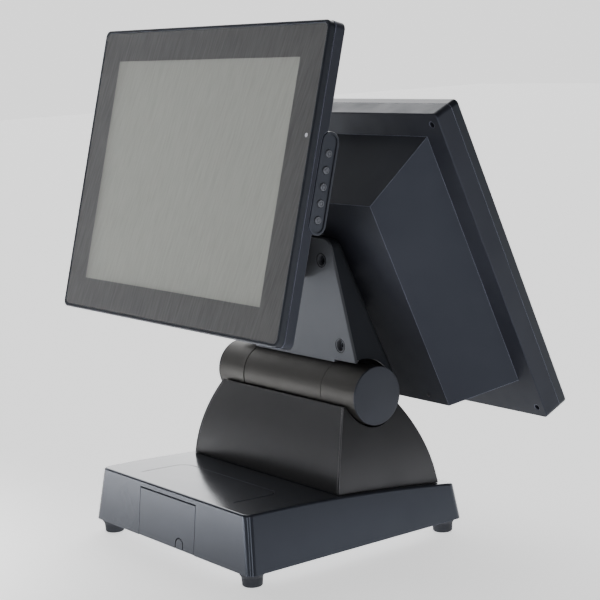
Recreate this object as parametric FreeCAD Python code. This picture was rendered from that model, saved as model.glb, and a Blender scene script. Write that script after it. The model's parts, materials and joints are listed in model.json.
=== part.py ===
import FreeCAD
import Part
import math
import os

# Dual-display point-of-sale terminal. Millimetres. +X is the operator's right, +Y runs from the
# operator to the customer, +Z is up. The origin is on the table, under the middle of the whole terminal.

# ---------------------------------------------------------------- driving dimensions
FOOT_H = 14.0
FOOT_X = 123.4
FOOT_Y = (-175.0, 70.8)

BASE_W = 278.7
BASE_FRONT = -188.9
BASE_REAR = 85.0
BASE_BOTTOM = FOOT_H
BASE_TOP_FRONT = 70.5
BASE_TOP_MID = 64.3
BASE_TOP_REAR = 50.1
BASE_SIDE_DRAFT = 10.0 / 56.5
BASE_FRONT_DRAFT = 6.3 / 56.5
BASE_REAR_DRAFT = 3.3 / 36.1
BASE_WALL = 2.8

DOOR_X = (-53.0, 45.4)
DOOR_TOP = 63.8
DOOR_THICK = 2.6
DOOR_GAP = 0.8
DOOR_LIP_R = 2.95

BAY_DEPTH = 46.0

BARREL_Y = -4.9
BARREL_Z = 154.2
BARREL_R = 30.0
BARREL_HALF = 116.7
SEAM_LEFT = -68.8
SEAM_RIGHT = 62.1
CRADLE_R = 32.4
SHAFT_R = 9.0
RUNNING = 0.05

PEDESTAL_TOP = 146.0
PEDESTAL_WALL = 2.6
PANEL_GAP = 0.45

PLATE_FRONT = -16.1
PLATE_THICK = 3.0
NECK_TOP = 308.8
NECK_CORNER = 13.0
NECK_LOW = 186.3
NECK_HALF_LOW = 96.6
NECK_TAPER = 0.2892
NECK_REAR_HIGH = (1.3, 304.0)
NECK_REAR_LOW = (37.0, 160.0)
NECK_WALL = 2.6
PLATE_HOLES = ((48.4, 286.7), (73.6, 201.7))
HOLE_R = 5.6
HOLE_RING_R = 7.6
HOLE_RING_DEEP = 0.8

FRONT_TILT = 14.8
FRONT_AT = (-144.5, 381.9)
FRONT_W = 377.0
FRONT_H = 295.4
FRONT_RIM = 18.0
FRONT_DEPTH = 68.0
FRONT_HINGE = (82.0, -55.0)

REAR_TILT = 24.4
REAR_AT = (116.2, 286.6)
REAR_W = 379.2
REAR_H = 350.3
REAR_RIM = 31.5
REAR_SEAM = 10.7
REAR_DEPTH = 91.2
REAR_HINGE = (103.2, 19.8)

VIEW_W = 306.2
VIEW_H = 229.7
VIEW_DEPTH = 4.2
VIEW_RECESS = 4.8

STRIP_DEPTH = 21.7
STRIP_UP = 3.9
STRIP_BACK = 175.2
STRIP_HALF = 47.2
STRIP_R = 9.7
STRIP_FACE = 190.4
BUTTON_R = 3.5
BUTTON_UP = 0.9
BUTTON_PITCH = 15.1
BUTTON_COUNT = 5

X_AXIS = FreeCAD.Vector(1, 0, 0)
Y_AXIS = FreeCAD.Vector(0, 1, 0)
Z_AXIS = FreeCAD.Vector(0, 0, 1)


# ---------------------------------------------------------------- building blocks
def point(x, y, z):
    return FreeCAD.Vector(x, y, z)


def box(x0, x1, y0, y1, z0, z1):
    return Part.makeBox(x1 - x0, y1 - y0, z1 - z0, point(x0, y0, z0))


def rod_x(x0, x1, y, z, r):
    return Part.makeCylinder(r, x1 - x0, point(x0, y, z), X_AXIS)


def rod_y(y0, y1, x, z, r):
    return Part.makeCylinder(r, y1 - y0, point(x, y0, z), Y_AXIS)


def rod_z(z0, z1, x, y, r):
    return Part.makeCylinder(r, z1 - z0, point(x, y, z0), Z_AXIS)


def join(shapes):
    whole = shapes[0]
    for other in shapes[1:]:
        whole = whole.fuse(other)
    return whole.removeSplitter()


def both_sides(shape):
    return [shape, shape.mirror(point(0, 0, 0), X_AXIS)]


def outline_edges(path):
    """Edges of a closed outline. A path item is a corner, or a pair (through, end) for an arc."""
    edges = []
    here = path[0]
    for item in path[1:] + [path[0]]:
        if isinstance(item, tuple):
            edges.append(Part.Arc(here, item[0], item[1]).toShape())
            here = item[1]
        else:
            edges.append(Part.LineSegment(here, item).toShape())
            here = item
    return edges


def prism(path, run):
    return Part.Face(Part.Wire(outline_edges(path))).extrude(run)


def side_prism(path, x0, x1):
    """Extrudes an outline drawn as (y, z) from x0 to x1."""
    def lift(item):
        if isinstance(item[0], tuple):
            return (point(x0, *item[0]), point(x0, *item[1]))
        return point(x0, *item)
    return prism([lift(item) for item in path], point(x1 - x0, 0, 0))


def front_prism(path, y0, y1):
    """Extrudes an outline drawn as (x, z) from y0 to y1."""
    def lift(item):
        if isinstance(item[0], tuple):
            return (point(item[0][0], y0, item[0][1]), point(item[1][0], y0, item[1][1]))
        return point(item[0], y0, item[1])
    return prism([lift(item) for item in path], point(0, y1 - y0, 0))


def rounded_slab(w, h, y0, y1, r, up=0.0):
    """Upright slab facing Y with four rounded corners, centred on X = 0 and Z = up."""
    slab = box(-w / 2, w / 2, y0, y1, up - h / 2, up + h / 2)
    corners = [e for e in slab.Edges if abs(e.tangentAt(e.FirstParameter).y) > 0.9]
    return slab.makeFillet(r, corners)


def rectangle_wire(half, low, high, y):
    corners = [point(-half, y, low), point(half, y, low), point(half, y, high), point(-half, y, high)]
    return Part.makePolygon(corners + corners[:1])


def frustum(y0, half0, low0, high0, y1, half1, low1, high1):
    wires = [rectangle_wire(half0, low0, high0, y0), rectangle_wire(half1, low1, high1, y1)]
    return Part.makeLoft(wires, True, True)


def edges_where(shape, test):
    return [e for e in shape.Edges if test(e, e.BoundBox)]


def screw(x, y, z, head_r, head_h, shank_r, shank, direction):
    """Cap screw with a round socket. (x, y, z) is the head's seat, and the shank runs along direction."""
    seat = point(x, y, z)
    head = Part.makeCylinder(head_r, head_h, seat - direction * head_h, direction)
    body = Part.makeCylinder(shank_r, shank, seat, direction)
    socket = Part.makeCylinder(head_r * 0.5, head_h * 0.6, seat - direction * head_h, direction)
    return head.fuse(body).cut(socket)


def group(shapes):
    return Part.makeCompound(shapes)


def export(name, shape):
    shape.exportStep("parts/" + name + ".step")


# ---------------------------------------------------------------- base
def base_front(z):
    return BASE_FRONT + BASE_FRONT_DRAFT * (z - BASE_BOTTOM)


def base_rear(z):
    return BASE_REAR - BASE_REAR_DRAFT * (z - BASE_BOTTOM)


def base_block(inset, floor):
    """Solid form of the base, drawn in by inset on its sides and top, and reaching down to floor."""
    top_front = (base_front(BASE_TOP_FRONT) + inset, BASE_TOP_FRONT - inset)
    top_rear = (base_rear(BASE_TOP_REAR) - inset, BASE_TOP_REAR - inset)
    top_mid = ((top_front[0] + top_rear[0]) / 2, BASE_TOP_MID - inset)
    side = [(base_front(floor) + inset, floor), top_front, (top_mid, top_rear),
            (base_rear(floor) - inset, floor)]
    half_low = BASE_W / 2 - inset - BASE_SIDE_DRAFT * (floor - BASE_BOTTOM)
    half_high = BASE_W / 2 - inset - BASE_SIDE_DRAFT * (BASE_TOP_FRONT + 20 - BASE_BOTTOM)
    ceiling = BASE_TOP_FRONT + 20
    face = [(-half_low, floor), (half_low, floor), (half_high, ceiling), (-half_high, ceiling)]
    length = BASE_REAR - BASE_FRONT
    block = side_prism(side, -BASE_W, BASE_W)
    return block.common(front_prism(face, BASE_FRONT - length, BASE_REAR + length))


def round_uprights(block, radius):
    def upright(edge, bound):
        return bound.ZLength > 25 and bound.XLength < 20 and abs(edge.CenterOfMass.x) > 100
    return block.makeFillet(radius, edges_where(block, upright))


def base_outer():
    block = round_uprights(base_block(0.0, BASE_BOTTOM), 8.0)
    rim = edges_where(block, lambda edge, bound: bound.ZMin > BASE_TOP_REAR - 3)
    return block.makeFillet(2.2, rim)


def door_hinge():
    z = DOOR_TOP - 2.5
    return (base_front(z) + 2.6, z)


def groove_tool():
    """Three-sided hairline groove in the top of the base: two arms and a back run with rounded corners."""
    arm_x = 82.0
    front = -163.0
    back = -106.5
    radius = 14.0
    width = 1.0
    deep = 0.9
    path = [point(-arm_x, front, 0), point(-arm_x, back - radius, 0), point(-arm_x + radius, back, 0),
            point(arm_x - radius, back, 0), point(arm_x, back - radius, 0), point(arm_x, front, 0)]
    bend = radius * (1 - math.cos(math.pi / 4))
    left_through = point(-arm_x + bend, back - bend, 0)
    right_through = point(arm_x - bend, back - bend, 0)
    spine = Part.Wire([Part.LineSegment(path[0], path[1]).toShape(),
                       Part.Arc(path[1], left_through, path[2]).toShape(),
                       Part.LineSegment(path[2], path[3]).toShape(),
                       Part.Arc(path[3], right_through, path[4]).toShape(),
                       Part.LineSegment(path[4], path[5]).toShape()])
    start = [point(-arm_x - width / 2, front, 0), point(-arm_x + width / 2, front, 0),
             point(-arm_x + width / 2, front, 60), point(-arm_x - width / 2, front, 60)]
    section = Part.makePolygon(start + start[:1])
    sweep = spine.makePipeShell([section], True, False)
    sweep.translate(point(0, 0, 50))
    return sweep.cut(base_block(deep, BASE_BOTTOM))


def make_base_housing():
    shell = base_outer().cut(round_uprights(base_block(BASE_WALL, BASE_BOTTOM - 6), 5.5))
    hinge_y, hinge_z = door_hinge()
    lugs = []
    for x0, x1 in ((DOOR_X[0] - 6.4, DOOR_X[0] - DOOR_GAP), (DOOR_X[1] + DOOR_GAP, DOOR_X[1] + 6.4)):
        lugs.append(box(x0, x1, hinge_y - 1.6, hinge_y + 4.0, hinge_z - 4.0, hinge_z + 4.0))
    shell = join([shell] + lugs)
    shell = shell.cut(box(DOOR_X[0] - DOOR_GAP, DOOR_X[1] + DOOR_GAP, BASE_FRONT - 5, BASE_FRONT + 14,
                          BASE_BOTTOM - 2, DOOR_TOP + DOOR_GAP))
    shell = shell.cut(rod_x(DOOR_X[0] - 8, DOOR_X[1] + 8, hinge_y, hinge_z, 1.2 + RUNNING))
    shell = shell.cut(box(-98, 98, -48, 44, 40, 80))
    shell = shell.cut(box(-92, 92, BASE_REAR - 12, BASE_REAR + 4, 20, 42))
    return shell.cut(groove_tool())


def make_bottom_plate():
    inside = round_uprights(base_block(BASE_WALL + 0.5, BASE_BOTTOM - 6), 5.0)
    plate = inside.common(box(-150, 150, -200, 100, BASE_BOTTOM + 0.6, BASE_BOTTOM + 2.4))
    for row in range(6):
        slot = box(60, 96, -118 + 6 * row, -115 + 6 * row, 10, 20)
        plate = plate.cut(slot)
    for x, y in bottom_screw_places():
        plate = plate.cut(rod_z(10, 20, x, y, 1.7))
    for x, y in foot_places():
        plate = plate.cut(rod_z(10, 20, x, y, 2.1))
    return plate


def foot_places():
    return [(x, y) for x in (-FOOT_X, FOOT_X) for y in FOOT_Y]


def bottom_screw_places():
    return [(-124, -140), (124, -140), (-124, -50), (124, -50), (-124, 40), (124, 40)]


def make_rubber_feet():
    profile = [point(4.5, 0, 0), point(9.1, 0, 0), point(9.9, 0, 0.8), point(10.6, 0, 9.0),
               point(12.4, 0, 12.0),
               point(12.4, 0, FOOT_H - 0.3),
               point(10.9, 0, FOOT_H - 0.3), point(10.9, 0, FOOT_H + 0.5),
               point(2.2, 0, FOOT_H + 0.5), point(2.2, 0, 7.0), point(4.5, 0, 7.0)]
    face = Part.Face(Part.makePolygon(profile + profile[:1]))
    foot = face.revolve(point(0, 0, 0), Z_AXIS, 360)
    feet = []
    for x, y in foot_places():
        copy = foot.copy()
        copy.translate(point(x, y, 0))
        feet.append(copy)
    return group(feet)


def make_base_screws():
    shapes = []
    for x, y in bottom_screw_places():
        shapes.append(screw(x, y, BASE_BOTTOM + 0.6, 2.8, 1.4, 1.6, 9.0, Z_AXIS))
    for x, y in foot_places():
        shapes.append(screw(x, y, 6.9, 3.8, 2.4, 2.0, 13.0, Z_AXIS))
    return group(shapes)


def make_access_door():
    hinge_y, hinge_z = door_hinge()
    low = BASE_BOTTOM + 0.4
    panel = side_prism([(base_front(low), low), (base_front(hinge_z), hinge_z),
                        (base_front(hinge_z) + DOOR_THICK, hinge_z), (base_front(low) + DOOR_THICK, low)],
                       DOOR_X[0], DOOR_X[1])
    roll = rod_x(DOOR_X[0], DOOR_X[1], hinge_y, hinge_z, 2.5)
    lip = side_prism([(base_front(hinge_z), hinge_z), (base_front(DOOR_TOP), DOOR_TOP),
                      (hinge_y, DOOR_TOP), (hinge_y, hinge_z)], DOOR_X[0], DOOR_X[1])
    lip = lip.common(rod_x(DOOR_X[0], DOOR_X[1], hinge_y, hinge_z, DOOR_LIP_R))
    rib = box(DOOR_X[0] + 8, DOOR_X[1] - 8, base_front(22) + 2, base_front(22) + 5.5, 20.5, 22.5)
    door = join([panel, roll, lip, rib])
    notch_x = 20.0
    notch_r = 7.2
    arch_z = 19.0
    line = 1.4
    outer = join([box(notch_x - notch_r, notch_x + notch_r, BASE_FRONT - 4, 0, 10, arch_z),
                  rod_y(BASE_FRONT - 4, 0, notch_x, arch_z, notch_r)])
    inner = join([box(notch_x - notch_r + line, notch_x + notch_r - line, BASE_FRONT - 5, 1, 9, arch_z),
                  rod_y(BASE_FRONT - 5, 1, notch_x, arch_z, notch_r - line)])
    groove = outer.cut(inner)
    face_cut = side_prism([(base_front(8) - 3, 8), (base_front(40) - 3, 40), (base_front(40) + 1.2, 40),
                           (base_front(8) + 1.2, 8)], -60, 60)
    return door.cut(groove.common(face_cut))


def make_door_pins():
    hinge_y, hinge_z = door_hinge()
    left = rod_x(DOOR_X[0] - 5.0, DOOR_X[0], hinge_y, hinge_z, 1.2)
    right = rod_x(DOOR_X[1], DOOR_X[1] + 5.0, hinge_y, hinge_z, 1.2)
    return group([left, right])


BAY_FRONT = BASE_FRONT + 13.0
BAY_REAR = BAY_FRONT + BAY_DEPTH
BAY_BOTTOM = BASE_BOTTOM + 3.0
BAY_TOP = 58.0
BUTTON_AT = (-32.0, 38.0)
USB_AT = ((2.0, 38.0), (26.0, 38.0))


def make_port_bay():
    x0 = DOOR_X[0] - 3.0
    x1 = DOOR_X[1] + 3.0
    outer = box(x0, x1, BAY_FRONT, BAY_REAR, BAY_BOTTOM, BAY_TOP)
    inner = box(x0 + 1.6, x1 - 1.6, BAY_FRONT - 1, BAY_REAR - 1.6, BAY_BOTTOM + 1.6, BAY_TOP - 1.6)
    bay = outer.cut(inner)
    bay = bay.cut(rod_y(BAY_REAR - 4, BAY_REAR + 1, *BUTTON_AT, 6.4))
    for x, z in USB_AT:
        bay = bay.cut(box(x - 7.4, x + 7.4, BAY_REAR - 4, BAY_REAR + 1, z - 4.0, z + 4.0))
    return bay


def make_bay_port_board():
    """Circuit board behind the bay that carries the USB sockets and the power switch."""
    sockets = []
    for x, z in USB_AT:
        shell = box(x - 7.1, x + 7.1, BAY_REAR - 3.2, BAY_REAR + 14, z - 3.7, z + 3.7)
        shell = shell.cut(box(x - 6.4, x + 6.4, BAY_REAR - 4, BAY_REAR + 11, z - 2.6, z + 3.0))
        tongue = box(x - 5.4, x + 5.4, BAY_REAR - 1.5, BAY_REAR + 12, z - 0.2, z + 1.6)
        sockets.append(join([shell, tongue]))
    x, z = BUTTON_AT
    board = box(-46, 40, BAY_REAR + 14, BAY_REAR + 15.6, 26, 52)
    switch = box(x - 6, x + 6, BAY_REAR + 7.0, BAY_REAR + 14, z - 6, z + 6)
    plunger = rod_y(BAY_REAR + 4.4, BAY_REAR + 7.0, x, z, 2.0)
    return group([join([board, switch, plunger] + sockets)])


def make_power_button():
    x, z = BUTTON_AT
    cap = rod_y(BAY_REAR - 4.6, BAY_REAR + 2.0, x, z, 6.0)
    cap = cap.makeFillet(0.7, edges_where(cap, lambda edge, bound: bound.YMax < BAY_REAR - 4))
    flange = rod_y(BAY_REAR + 0.6, BAY_REAR + 2.0, x, z, 7.6)
    ring = rod_y(BAY_REAR - 5, BAY_REAR - 4.2, x, z, 3.6)
    ring = ring.cut(rod_y(BAY_REAR - 5, BAY_REAR - 4.2, x, z, 2.9))
    return join([cap, flange]).cut(ring)


REAR_PANEL_Y = base_rear(44.0) - BASE_WALL - 0.3


def rear_ports():
    """Port openings in the rear panel: (left, right, bottom, top) of each socket."""
    ports = []
    for index in range(3):
        ports.append((-84 + 33 * index, -53 + 33 * index, 25, 37))
    for index in range(2):
        ports.append((16 + 18 * index, 30 + 18 * index, 23, 37))
    return ports


INLET_AT = (76.0, 31.0)


def make_rear_panel():
    panel = box(-91, 91, REAR_PANEL_Y - 1.4, REAR_PANEL_Y, 18.5, 43.5)
    for x0, x1, z0, z1 in rear_ports():
        panel = panel.cut(box(x0 - 0.3, x1 + 0.3, REAR_PANEL_Y - 3, REAR_PANEL_Y + 1, z0 - 0.3, z1 + 0.3))
    return panel.cut(rod_y(REAR_PANEL_Y - 3, REAR_PANEL_Y + 1, *INLET_AT, 5.9))


def make_rear_sockets():
    sockets = []
    for x0, x1, z0, z1 in rear_ports():
        body = box(x0, x1, REAR_PANEL_Y - 14, REAR_PANEL_Y + 1.2, z0, z1)
        mouth = box(x0 + 1.2, x1 - 1.2, REAR_PANEL_Y - 10, REAR_PANEL_Y + 2, z0 + 1.2, z0 + 5.0)
        sockets.append(body.cut(mouth))
    return group(sockets)


def make_power_inlet():
    body = rod_y(REAR_PANEL_Y - 16, REAR_PANEL_Y + 1.2, *INLET_AT, 5.6)
    body = body.cut(rod_y(REAR_PANEL_Y - 12, REAR_PANEL_Y + 2, *INLET_AT, 3.4))
    return join([body, rod_y(REAR_PANEL_Y - 12.5, REAR_PANEL_Y - 1, *INLET_AT, 1.0)])


def make_io_board():
    board = box(-88, 88, 31, REAR_PANEL_Y - 3, 20.6, 22.2)
    chips = [box(-60 + 34 * index, -44 + 34 * index, 36, 50, 22.2, 24.4) for index in range(4)]
    return join([board] + chips)


def make_power_supply():
    case = box(-126, -64, -130, -62, 17.6, 47)
    slots = [box(-118 + 8 * i, -114 + 8 * i, -124, -68, 45.4, 48) for i in range(6)]
    for slot in slots:
        case = case.cut(slot)
    return case


def make_storage_drive():
    drive = box(52, 122, -100, -60, 28, 37.5)
    drive = join([drive, box(56, 118, -96, -64, 37.5, 38.5)])
    legs = [box(x, x + 4, y, y + 4, BASE_BOTTOM + 2.5, 28) for x in (54, 116) for y in (-98, -66)]
    return join([drive] + legs)


def make_speaker():
    """Small loudspeaker that faces down."""
    x, y = 78.0, -143.0
    magnet = rod_z(28, 34, x, y, 9)
    cone = Part.makeCone(18, 9, 8, point(x, y, 20), Z_AXIS)
    rim = rod_z(BASE_BOTTOM + 2.5, 20, x, y, 20)
    return join([rim, cone, magnet])


# ---------------------------------------------------------------- pedestal
def pedestal_block(inset):
    """Solid arch of the pedestal, drawn in by inset on every side."""
    top = PEDESTAL_TOP - inset
    front = [(-66.9 + inset, 48.0), (-65.7 + inset, 68.0), ((-57.0 + inset, 105.0), (-38.6 + inset, top))]
    rear = [(27.4 - inset, top - 2.8), ((48.6 - inset, 105.0), (61.6 - inset, 68.0)), (66.8 - inset, 48.0)]
    side = side_prism(front + rear, -130, 130)
    face = [(-124.3 + inset, 46.0), (-124.1 + inset, 62.0), ((-118.3 + inset, 105.0), (-102.9 + inset, top)),
            (102.9 - inset, top), ((118.3 - inset, 105.0), (124.1 - inset, 62.0)), (124.3 - inset, 46.0)]
    return side.common(front_prism(face, -90, 90))


def cradle(radius):
    return rod_x(-140, 140, BARREL_Y, BARREL_Z, radius)


def bracket_web(grow):
    """The two legs that rise from the base to the outer barrel sections."""
    leg = box(76 - grow, 98 + grow, BARREL_Y - 15 - grow, BARREL_Y + 15 + grow, 24, BARREL_Z)
    return join(both_sides(leg))


def pedestal_shell():
    outer = pedestal_block(0.0)
    inner = pedestal_block(PEDESTAL_WALL)
    trough = cradle(CRADLE_R + PEDESTAL_WALL).common(inner)
    shell = outer.cut(inner).fuse(trough)
    shell = shell.cut(cradle(CRADLE_R)).cut(base_block(-0.35, BASE_BOTTOM))
    return shell.cut(bracket_web(0.6))


def between_sides(inset):
    face = [(-124.3 + inset, 30.0), (-124.1 + inset, 62.0), ((-118.3 + inset, 105.0), (-102.9 + inset, 146.0)),
            (-96 + inset, 165.0), (96 - inset, 165.0),
            (102.9 - inset, 146.0), ((118.3 - inset, 105.0), (124.1 - inset, 62.0)), (124.3 - inset, 30.0)]
    return front_prism(face, -90, 90)


def make_pedestal_panels():
    shell = pedestal_shell()
    middle = shell.common(between_sides(PEDESTAL_WALL + PANEL_GAP))
    front = middle.common(box(-140, 140, -90, BARREL_Y - 0.2, 0, 200))
    rear = middle.common(box(-140, 140, BARREL_Y + 0.2, 90, 0, 200))
    sides = shell.cut(between_sides(PEDESTAL_WALL))
    left = sides.common(box(-200, 0, -100, 100, 0, 200))
    right = sides.common(box(0, 200, -100, 100, 0, 200))
    return front, rear, left, right


def largest_solid(shape):
    return sorted(shape.Solids, key=lambda solid: solid.Volume)[-1]


# ---------------------------------------------------------------- barrel hinge
def tube_x(x0, x1, outer, inner):
    return rod_x(x0, x1, BARREL_Y, BARREL_Z, outer).cut(rod_x(x0 - 1, x1 + 1, BARREL_Y, BARREL_Z, inner))


BORE_R = 17.0
CAP_THICK = 3.0
CAP_RISE = 1.2


def bracket_bolt_places():
    """Four bolts through the foot of each hinge bracket: (x, y) in the base."""
    return [(x, BARREL_Y + dy) for x in (-104, -70, 70, 104) for dy in (-27, 27)]


def make_hinge_bracket(side):
    """Outer barrel section with its leg and foot, cast in one piece. side is -1 for left and 1 for right."""
    seam = -SEAM_LEFT + 0.75 if side < 0 else SEAM_RIGHT + 0.35
    section = tube_x(seam, BARREL_HALF - CAP_THICK, BARREL_R, BORE_R)
    leg = box(76, 98, BARREL_Y - 15, BARREL_Y + 15, 24, BARREL_Z).cut(cradle(BARREL_R - 2))
    lighten = box(82, 92, BARREL_Y - 20, BARREL_Y + 20, 40, 112)
    foot = box(62, 112, BARREL_Y - 34, BARREL_Y + 34, 23, 29)
    bracket = join([section, leg.cut(lighten), foot])
    for x, y in bracket_bolt_places():
        bracket = bracket.cut(rod_z(10, 40, x, y, 2.8))
    end = edges_where(bracket, lambda edge, bound: bound.XMin > BARREL_HALF - CAP_THICK - 0.1 and
                      bound.YLength > 2 * BARREL_R - 1)
    bracket = bracket.makeChamfer(0.3, end)
    if side < 0:
        bracket = bracket.mirror(point(0, 0, 0), X_AXIS)
    return bracket


def make_end_caps():
    disc = rod_x(BARREL_HALF - CAP_THICK, BARREL_HALF, BARREL_Y, BARREL_Z, BARREL_R)
    dome_r = (BARREL_R ** 2 + CAP_RISE ** 2) / (2 * CAP_RISE)
    disc = disc.common(Part.makeSphere(dome_r, point(BARREL_HALF - dome_r, BARREL_Y, BARREL_Z)))
    rim = edges_where(disc, lambda edge, bound: bound.XMin > BARREL_HALF - CAP_RISE - 0.1)
    disc = disc.makeFillet(0.9, rim)
    plug = tube_x(BARREL_HALF - CAP_THICK - 4, BARREL_HALF - CAP_THICK, BORE_R - 0.1, BORE_R - 2.5)
    return group(both_sides(join([disc, plug])))


def make_hinge_shaft():
    half = BARREL_HALF - CAP_THICK - 8
    shaft = rod_x(-half, half, BARREL_Y, BARREL_Z, SHAFT_R)
    tips = edges_where(shaft, lambda edge, bound: bound.XLength < 0.1)
    return shaft.makeChamfer(1.0, tips)


def make_shaft_collars():
    return group(both_sides(tube_x(72, 100, BORE_R, SHAFT_R)))


def make_friction_washers():
    left = tube_x(SEAM_LEFT - 3.0, SEAM_LEFT - 1.1, BORE_R - 0.5, SHAFT_R + RUNNING)
    right = tube_x(SEAM_RIGHT + 1.1, SEAM_RIGHT + 4.0, BORE_R - 0.5, SHAFT_R + RUNNING)
    return group([left, right])


def make_hinge_plate():
    plate = box(-116, 116, BARREL_Y - 40, BARREL_Y + 40, 17.2, 23.0)
    for x, y in bracket_bolt_places():
        plate = plate.cut(rod_z(10, 30, x, y, 2.5))
    return plate.cut(box(-90, 90, 19, 60, 10, 30))


def make_bracket_bolts():
    return group([screw(x, y, 29.0, 4.6, 4.0, 2.5, 11.0, -Z_AXIS) for x, y in bracket_bolt_places()])


# ---------------------------------------------------------------- neck
def neck_half(z):
    return NECK_HALF_LOW - NECK_TAPER * (z - NECK_LOW)


def neck_rear(z):
    share = (z - NECK_REAR_LOW[1]) / (NECK_REAR_HIGH[1] - NECK_REAR_LOW[1])
    return NECK_REAR_LOW[0] + share * (NECK_REAR_HIGH[0] - NECK_REAR_LOW[0])


def neck_face(inset, low, y0, y1, radius):
    """A-shaped slab seen from the front, with its two top corners rounded."""
    top = NECK_TOP - inset
    outline = [(-neck_half(low) + inset, low), (neck_half(low) - inset, low),
               (neck_half(top) - inset, top), (-neck_half(top) + inset, top)]
    slab = front_prism(outline, y0, y1)
    thickness = abs(y1 - y0)
    corners = edges_where(slab, lambda edge, bound: bound.ZMin > top - 1 and bound.YLength > thickness - 0.1)
    return slab.makeFillet(radius, corners)


def plate_hole_places():
    return [(side * x, z) for x, z in PLATE_HOLES for side in (-1, 1)]


def arm_bolt_places():
    return [(x, z) for x in (-13.0, 13.0) for z in (272.5, 297.0)]


def make_neck_front_plate():
    plate = neck_face(0.0, 182.0, PLATE_FRONT, PLATE_FRONT + PLATE_THICK, NECK_CORNER)
    plate = plate.makeFillet(0.8, edges_where(plate, lambda edge, bound: bound.YMax < PLATE_FRONT + 0.1 and
                                              bound.ZMax > 183))
    plate = plate.cut(box(-150, 150, -40, 20, 170, 183.7))
    plate = plate.cut(box(SEAM_RIGHT + 1.3, 150, -40, 20, 170, NECK_LOW))
    plate = plate.cut(box(-150, SEAM_LEFT - 1.3, -40, 20, 170, NECK_LOW))
    back = PLATE_FRONT + PLATE_THICK
    for x, z in plate_hole_places():
        plate = plate.fuse(rod_y(back, back + 5.0, x, z, HOLE_R + 2.4))
        plate = plate.cut(rod_y(PLATE_FRONT - 1, back + 3.0, x, z, HOLE_R))
        plate = plate.cut(rod_y(back, back + 9, x, z, 2.2))
        ring = rod_y(PLATE_FRONT - 1, PLATE_FRONT + HOLE_RING_DEEP, x, z, HOLE_RING_R)
        plate = plate.cut(ring.cut(rod_y(PLATE_FRONT - 2, 0, x, z, HOLE_R + 0.9)))
    for x, z in arm_bolt_places():
        plate = plate.cut(rod_y(-30, 10, x, z, 2.2))
    return plate


def make_neck_screws():
    """Four plate screws, and the four bolts of the display arm."""
    seat = PLATE_FRONT + PLATE_THICK + 3.0
    screws = [screw(x, PLATE_FRONT - 6.05, z, 3.9, 3.4, 2.0, 17.5, Y_AXIS) for x, z in arm_bolt_places()]
    screws += [screw(x, seat, z, 4.6, 2.6, 2.1, 6.5, Y_AXIS) for x, z in plate_hole_places()]
    return group(screws)


def neck_block(inset):
    front = PLATE_FRONT + PLATE_THICK + 0.3
    top = NECK_TOP + 0.2 - inset
    low = 150.0
    rear_low = (neck_rear(low) - inset, low)
    rear_high = (neck_rear(NECK_TOP + 4) - inset, NECK_TOP + 4)
    start = front - (1.0 if inset > 0 else 0.0)
    path = [(start, low), rear_low, rear_high, (rear_high[0], top + 8), (start, top + 8)]
    side = side_prism(path, -130, 130)
    lid = side_prism([(start, low), (60, low), (60, top), (start, top)], -130, 130)
    block = side.common(lid).common(neck_face(inset + 0.25, low, -30, 60, NECK_CORNER - inset * 0.6))
    def top_rim(edge, bound):
        return bound.ZMin > top - 0.5 and bound.YMin > -8 and bound.YLength < 1
    rim = edges_where(block, top_rim)
    return block.makeFillet(9.0 - inset, rim)


def make_neck_cover():
    cover = neck_block(0.0).cut(neck_block(NECK_WALL))
    wide = cradle(BARREL_R + 5.2)
    middle = rod_x(SEAM_LEFT + 0.8, SEAM_RIGHT - 0.4, BARREL_Y, BARREL_Z, BARREL_R + 0.35)
    sweep = wide.cut(rod_x(SEAM_LEFT - 1.3, SEAM_RIGHT + 1.3, BARREL_Y, BARREL_Z, 60)).fuse(
        rod_x(SEAM_LEFT - 1.3, SEAM_RIGHT + 1.3, BARREL_Y, BARREL_Z, BARREL_R + 0.35)).fuse(middle)
    cover = cover.cut(sweep).cut(box(-150, 150, -60, 60, 140, 160.5))
    cover = cover.cut(box(-54, 54, -2, 40, 246, 279))
    return largest_solid(cover)


def make_neck_barrel():
    """Middle section of the barrel, thick only at its two ends where the bushes sit."""
    barrel = tube_x(SEAM_LEFT + 0.75, SEAM_RIGHT - 0.35, BARREL_R, BORE_R)
    return barrel.cut(rod_x(SEAM_LEFT + 30, SEAM_RIGHT - 30, BARREL_Y, BARREL_Z, BARREL_R - 5.0))


def make_neck_bushes():
    left = tube_x(SEAM_LEFT + 0.75, SEAM_LEFT + 24, BORE_R, SHAFT_R + RUNNING)
    right = tube_x(SEAM_RIGHT - 24, SEAM_RIGHT - 0.35, BORE_R, SHAFT_R + RUNNING)
    return group([left, right])


RIB_X = (42.0, 50.0)
REAR_PIN_R = 4.0
REAR_KNUCKLE_R = 8.0


def rear_point(depth, up):
    angle = math.radians(REAR_TILT)
    return (REAR_AT[0] - depth * math.cos(angle) - up * math.sin(angle),
            REAR_AT[1] - depth * math.sin(angle) + up * math.cos(angle))


def front_point(depth, up):
    angle = math.radians(FRONT_TILT)
    return (FRONT_AT[0] + depth * math.cos(angle) + up * math.sin(angle),
            FRONT_AT[1] - depth * math.sin(angle) + up * math.cos(angle))


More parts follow.
